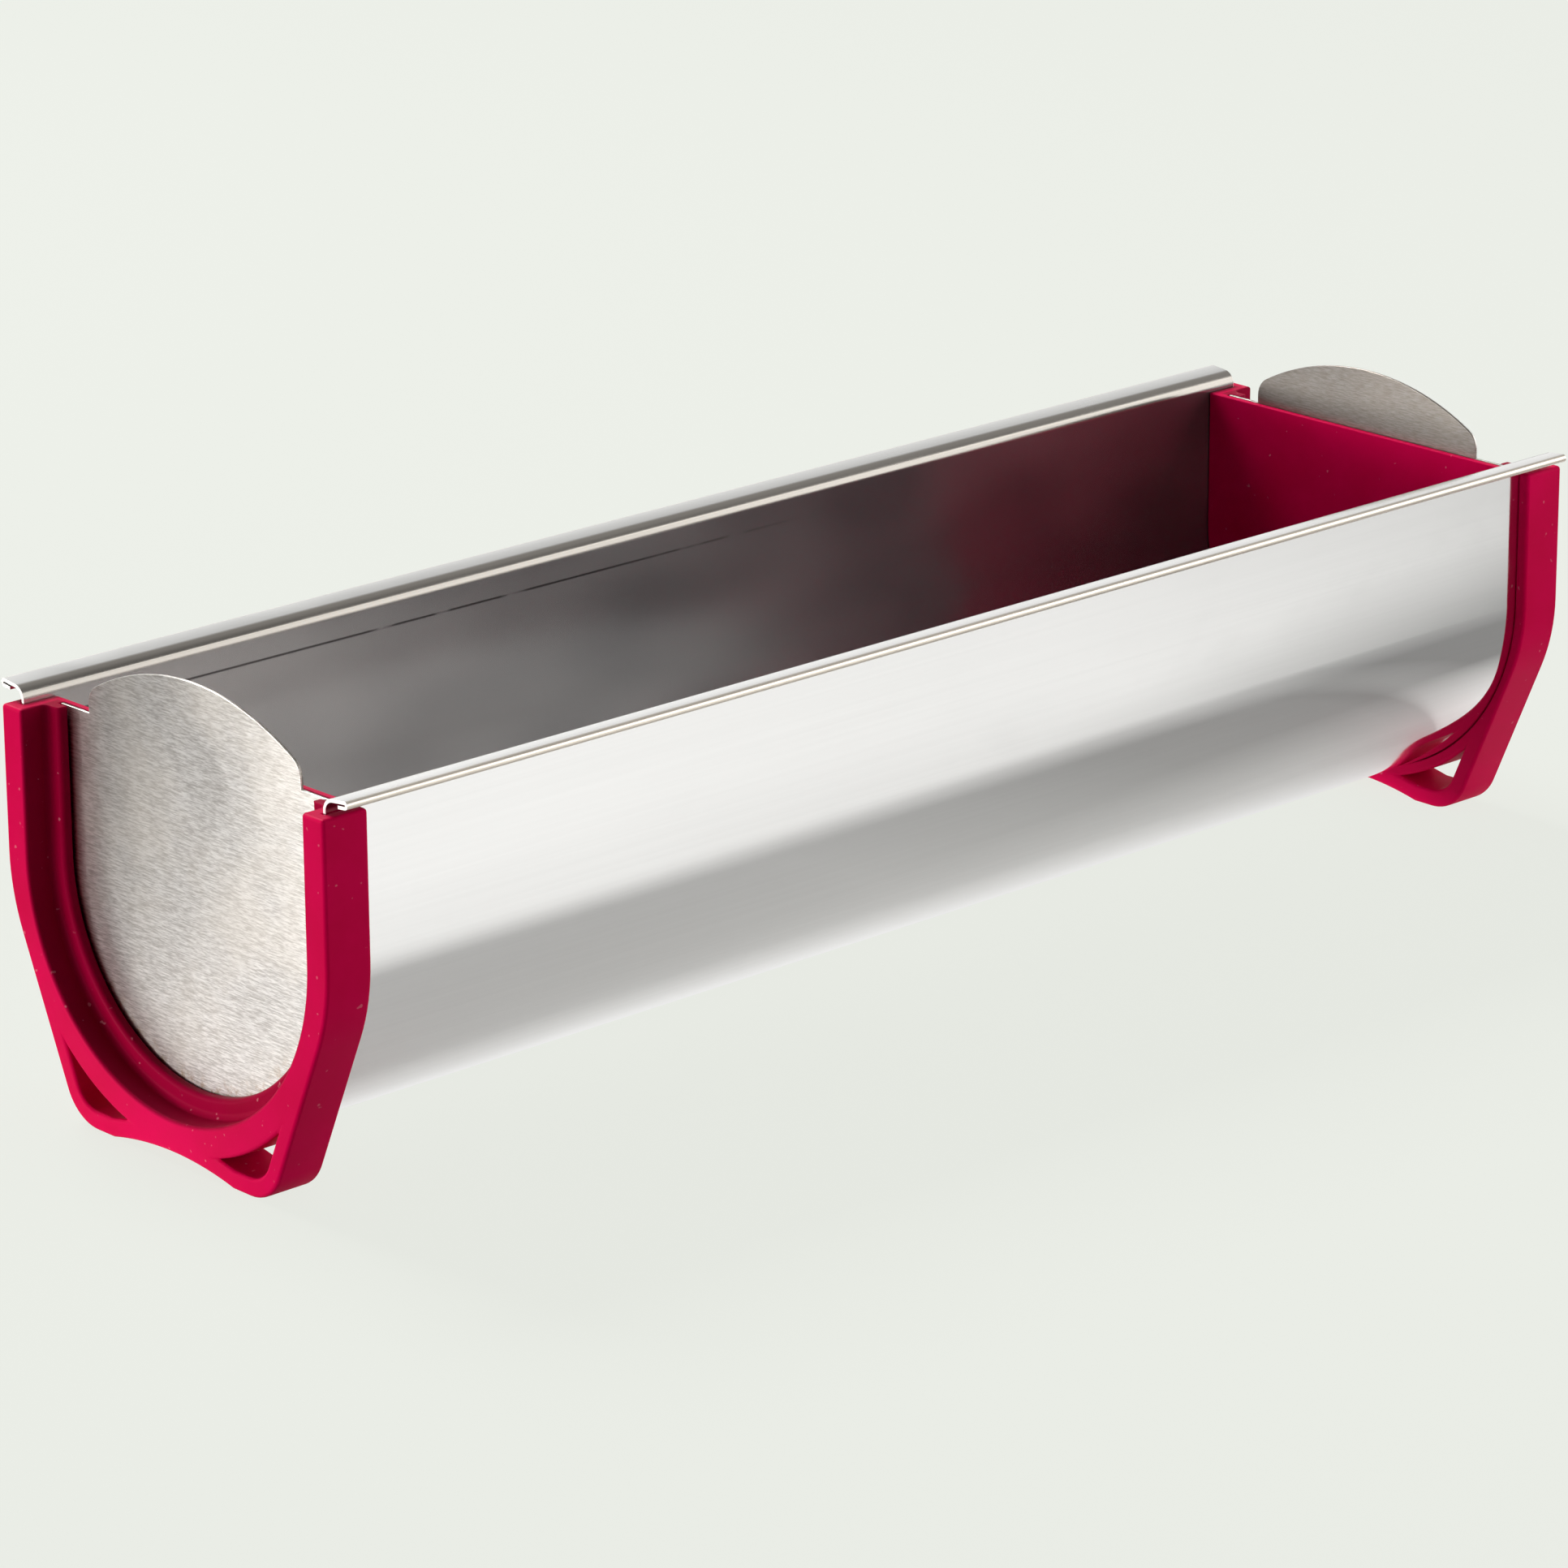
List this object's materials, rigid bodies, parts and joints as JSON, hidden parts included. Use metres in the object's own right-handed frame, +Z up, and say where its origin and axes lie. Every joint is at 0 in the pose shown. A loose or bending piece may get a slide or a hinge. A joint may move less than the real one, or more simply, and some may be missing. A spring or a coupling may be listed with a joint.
{
  "type": "yule log mould",
  "caption": "Half-round steel gutter mould with rolled lips, standing in pull-off silicone end caps that hold lift-out steel end plates.",
  "frame": {"origin": "centre of the underside box, on the surface that the four feet stand on, half way along the gutter", "axes": "+X along the gutter, +Y across it, +Z up out of its open top"},
  "size_m": [0.3052, 0.0932, 0.084],
  "materials": {
    "polished_steel": "polished stainless sheet with soft reflections",
    "brushed_steel": "short fine brushed streaks",
    "silicone": "satin moulded silicone, raspberry red"
  },
  "bodies": {
    "gutter": {"gutter": "polished_steel"},
    "cap_left": {"end_cap_left": "silicone"},
    "cap_right": {"end_cap_right": "silicone"},
    "plate_left": {"end_plate_left": "brushed_steel"},
    "plate_right": {"end_plate_right": "brushed_steel"}
  },
  "joints": [
    {"name": "pull_cap_left", "type": "slide", "parent": "gutter", "child": "cap_left", "axis": [-1, 0, 0], "range_m": [0, 0.04]},
    {"name": "pull_cap_right", "type": "slide", "parent": "gutter", "child": "cap_right", "axis": [1, 0, 0], "range_m": [0, 0.04]},
    {"name": "lift_plate_left", "type": "slide", "parent": "cap_left", "child": "plate_left", "axis": [0, 0, 1], "range_m": [0, 0.07]},
    {"name": "lift_plate_right", "type": "slide", "parent": "cap_right", "child": "plate_right", "axis": [0, 0, 1], "range_m": [0, 0.07]}
  ]
}
